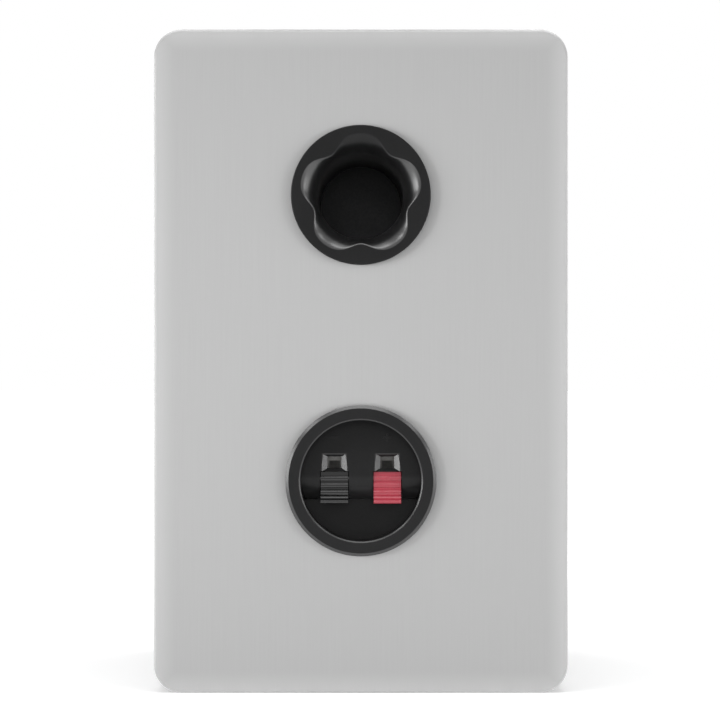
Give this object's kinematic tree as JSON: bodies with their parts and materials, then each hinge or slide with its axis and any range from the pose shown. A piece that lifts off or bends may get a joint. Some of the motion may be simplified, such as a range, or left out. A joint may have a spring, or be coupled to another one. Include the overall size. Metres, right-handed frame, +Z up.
{
  "type": "studio monitor speaker",
  "caption": "Passive two-way bookshelf monitor with brushed silver panels, lobed rear reflex port, round push-lever terminal cup, woofer and dome tweeter.",
  "frame": {"origin": "middle of the base, on the surface that the cabinet stands on", "axes": "+Z up, front baffle towards -Y, port and terminals towards +Y, +X to the right of the front"},
  "size_m": [0.156, 0.1956, 0.25],
  "materials": {
    "silver_wrap": "satin",
    "brushed_aluminium": "satin",
    "raw_board": "matte",
    "port_plastic": "satin",
    "cup_plastic": "satin",
    "red_lever": "satin",
    "black_lever": "satin",
    "contact_bronze": "satin",
    "gasket_foam": "matte",
    "basket_paint": "satin",
    "trim_plastic": "satin",
    "surround_rubber": "satin",
    "cone_paper": "matte",
    "dust_cap": "satin",
    "coil_former": "satin",
    "copper": "gloss",
    "spider_cloth": "matte",
    "plated_steel": "satin",
    "motor_paint": "satin",
    "ferrite": "matte",
    "black_screw": "satin",
    "zinc_screw": "satin",
    "dome_silk": "satin",
    "phenolic": "satin",
    "board_laminate": "satin",
    "nylon": "satin",
    "film_case": "gloss",
    "can_sleeve": "gloss",
    "cement": "matte",
    "lead_insulation": "satin",
    "wadding": "matte"
  },
  "bodies": {
    "cabinet": {"cabinet_sleeve": "silver_wrap", "front_plate": "brushed_aluminium", "front_baffle": "raw_board", "rear_plate": "brushed_aluminium", "rear_board": "raw_board", "reflex_port": "port_plastic", "terminal_cup": "cup_plastic", "terminal_gasket": "gasket_foam", "terminal_back_cover": "cup_plastic", "contact_spring_positive": "contact_bronze", "contact_spring_negative": "contact_bronze", "woofer_basket": "basket_paint", "woofer_gasket": "gasket_foam", "woofer_trim_ring": "trim_plastic", "woofer_surround": "surround_rubber", "woofer_spider": "spider_cloth", "woofer_top_plate": "plated_steel", "woofer_magnet": "ferrite", "woofer_yoke": "plated_steel", "woofer_tag_strip": "phenolic", "woofer_tags": "contact_bronze", "woofer_tinsel_leads": "copper", "woofer_screws": "black_screw", "tweeter_faceplate": "trim_plastic", "tweeter_gasket": "gasket_foam", "tweeter_suspension": "dome_silk", "tweeter_top_plate": "motor_paint", "tweeter_magnet": "ferrite", "tweeter_yoke": "motor_paint", "tweeter_tag_strip": "phenolic", "tweeter_tags": "contact_bronze", "tweeter_screws": "black_screw", "crossover_board": "board_laminate", "crossover_standoffs": "nylon", "crossover_screws": "zinc_screw", "inductor_bobbin": "nylon", "inductor_winding": "copper", "film_capacitor": "film_case", "bipolar_capacitor": "can_sleeve", "power_resistor": "cement", "input_leads": "lead_insulation", "woofer_leads": "lead_insulation", "tweeter_leads": "lead_insulation", "wadding_left": "wadding", "wadding_right": "wadding"},
    "lever_positive": {"lever_positive": "red_lever"},
    "lever_negative": {"lever_negative": "black_lever"},
    "woofer_moving": {"woofer_cone": "cone_paper", "woofer_dust_cap": "dust_cap", "woofer_coil_former": "coil_former", "woofer_coil_winding": "copper"},
    "tweeter_moving": {"tweeter_dome": "dome_silk", "tweeter_coil_former": "coil_former", "tweeter_coil_winding": "copper"}
  },
  "joints": [
    {"name": "lever_positive_press", "type": "hinge", "parent": "cabinet", "child": "lever_positive", "pos_m": [-0.01, 0.08478, 0.0808], "axis": [-1, 0, 0], "range_deg": [0, 14], "stiffness_Nm_per_rad": 0.3, "springref_deg": -8.59, "deforming": ["contact_spring_positive"]},
    {"name": "lever_negative_press", "type": "hinge", "parent": "cabinet", "child": "lever_negative", "pos_m": [0.01, 0.08478, 0.0808], "axis": [-1, 0, 0], "range_deg": [0, 14], "stiffness_Nm_per_rad": 0.3, "springref_deg": -8.59, "deforming": ["contact_spring_negative"]},
    {"name": "woofer_cone_travel", "type": "slide", "parent": "cabinet", "child": "woofer_moving", "axis": [0, -1, 0], "range_m": [-0.0035, 0.0035], "stiffness_N_per_m": 1100, "deforming": ["woofer_surround", "woofer_spider", "woofer_tinsel_leads"]},
    {"name": "tweeter_dome_travel", "type": "slide", "parent": "cabinet", "child": "tweeter_moving", "axis": [0, -1, 0], "range_m": [-0.0003, 0.0003], "stiffness_N_per_m": 2000, "deforming": ["tweeter_suspension"]}
  ]
}
